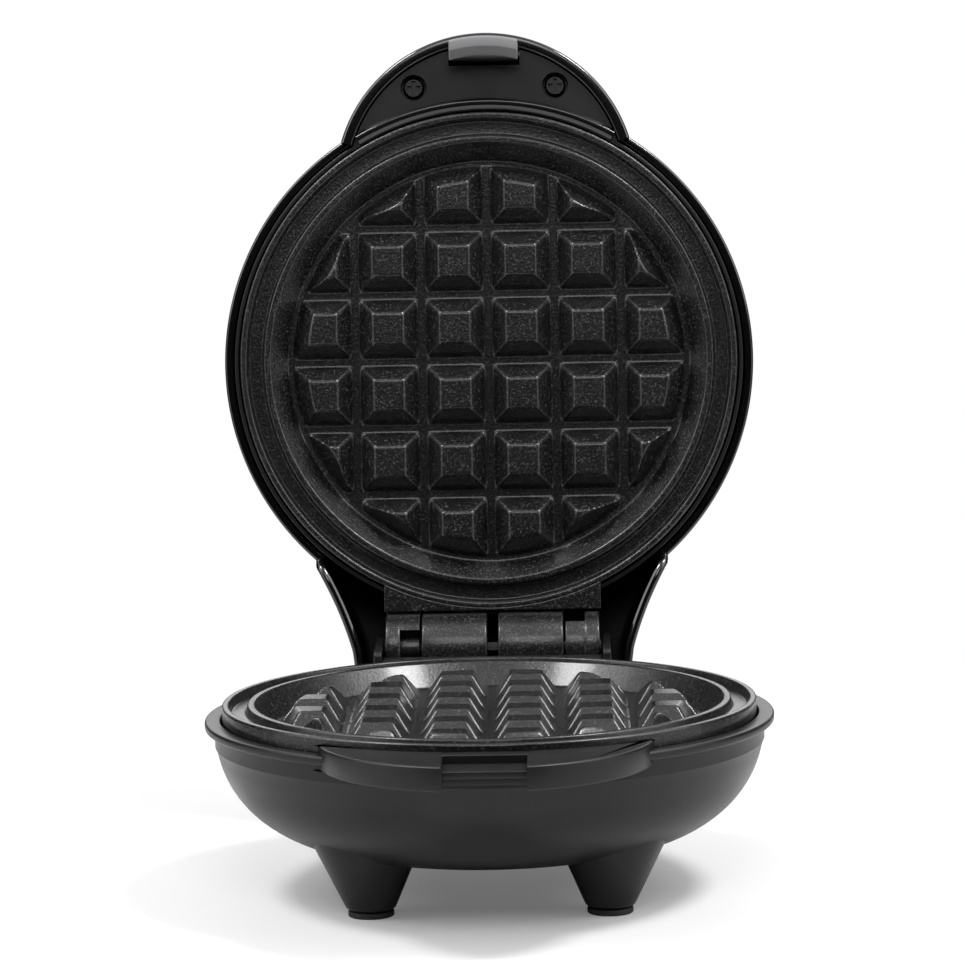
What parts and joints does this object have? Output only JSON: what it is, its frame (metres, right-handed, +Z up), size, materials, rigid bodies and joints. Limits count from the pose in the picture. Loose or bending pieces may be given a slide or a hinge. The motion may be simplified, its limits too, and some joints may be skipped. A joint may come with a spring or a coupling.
{
  "type": "mini waffle maker",
  "caption": "Small round waffle maker with its domed lid open: square-grid cooking plates, half-moon handle with a latch, bowl-shaped base on short tapered legs.",
  "frame": {"origin": "on the ground, under the middle of the open waffle maker's bounding box", "axes": "+Z up; -Y towards the handle side and the user, +Y towards the hinge; +X to the right as seen by the user"},
  "size_m": [0.127, 0.1868, 0.1899],
  "materials": {
    "satin_black": "satin",
    "gloss_black": "polished",
    "non_stick": "cast, with a speckled dark non-stick coat",
    "sheath": "dull sheath",
    "bright_steel": "plated",
    "black_steel": "blackened",
    "grey_plastic": "satin",
    "rubber": "matt",
    "ceramic": "matt",
    "amber_lens": "clear moulded",
    "glass": "clear"
  },
  "bodies": {
    "base": {"base_shell": "satin_black", "lower_plate": "non_stick", "lower_element": "sheath", "lower_heat_shield": "bright_steel", "thermostat": "ceramic", "thermostat_strap": "bright_steel", "thermal_fuse": "bright_steel", "terminal_block": "ceramic", "cord_gland": "rubber", "hinge_pin": "bright_steel", "foot_pad_1": "rubber", "foot_pad_2": "rubber", "foot_pad_3": "rubber", "foot_pad_4": "rubber", "strap_screw_1": "bright_steel", "strap_screw_2": "bright_steel", "base_screw_1": "bright_steel", "base_screw_2": "bright_steel", "base_screw_3": "bright_steel"},
    "lid": {"upper_plate": "non_stick", "upper_element": "sheath", "upper_heat_shield": "bright_steel", "lid_cover": "gloss_black", "lid_frame": "satin_black", "latch_pin": "bright_steel", "indicator_lens": "amber_lens", "indicator_lamp": "glass", "handle_screw_1": "black_steel", "handle_screw_2": "black_steel", "frame_screw_1": "bright_steel", "frame_screw_2": "bright_steel", "frame_screw_3": "bright_steel"},
    "latch": {"latch_clip": "grey_plastic"}
  },
  "joints": [
    {"name": "lid_hinge", "type": "hinge", "parent": "base", "child": "lid", "pos_m": [0, 0.05339, 0.0435], "axis": [1, 0, 0], "range_deg": [0, 98]},
    {"name": "latch_swing", "type": "hinge", "parent": "lid", "child": "latch", "pos_m": [0, 0.07968, 0.18461], "axis": [1, 0, 0], "range_deg": [-9, 0], "stiffness_Nm_per_rad": 0.02}
  ]
}
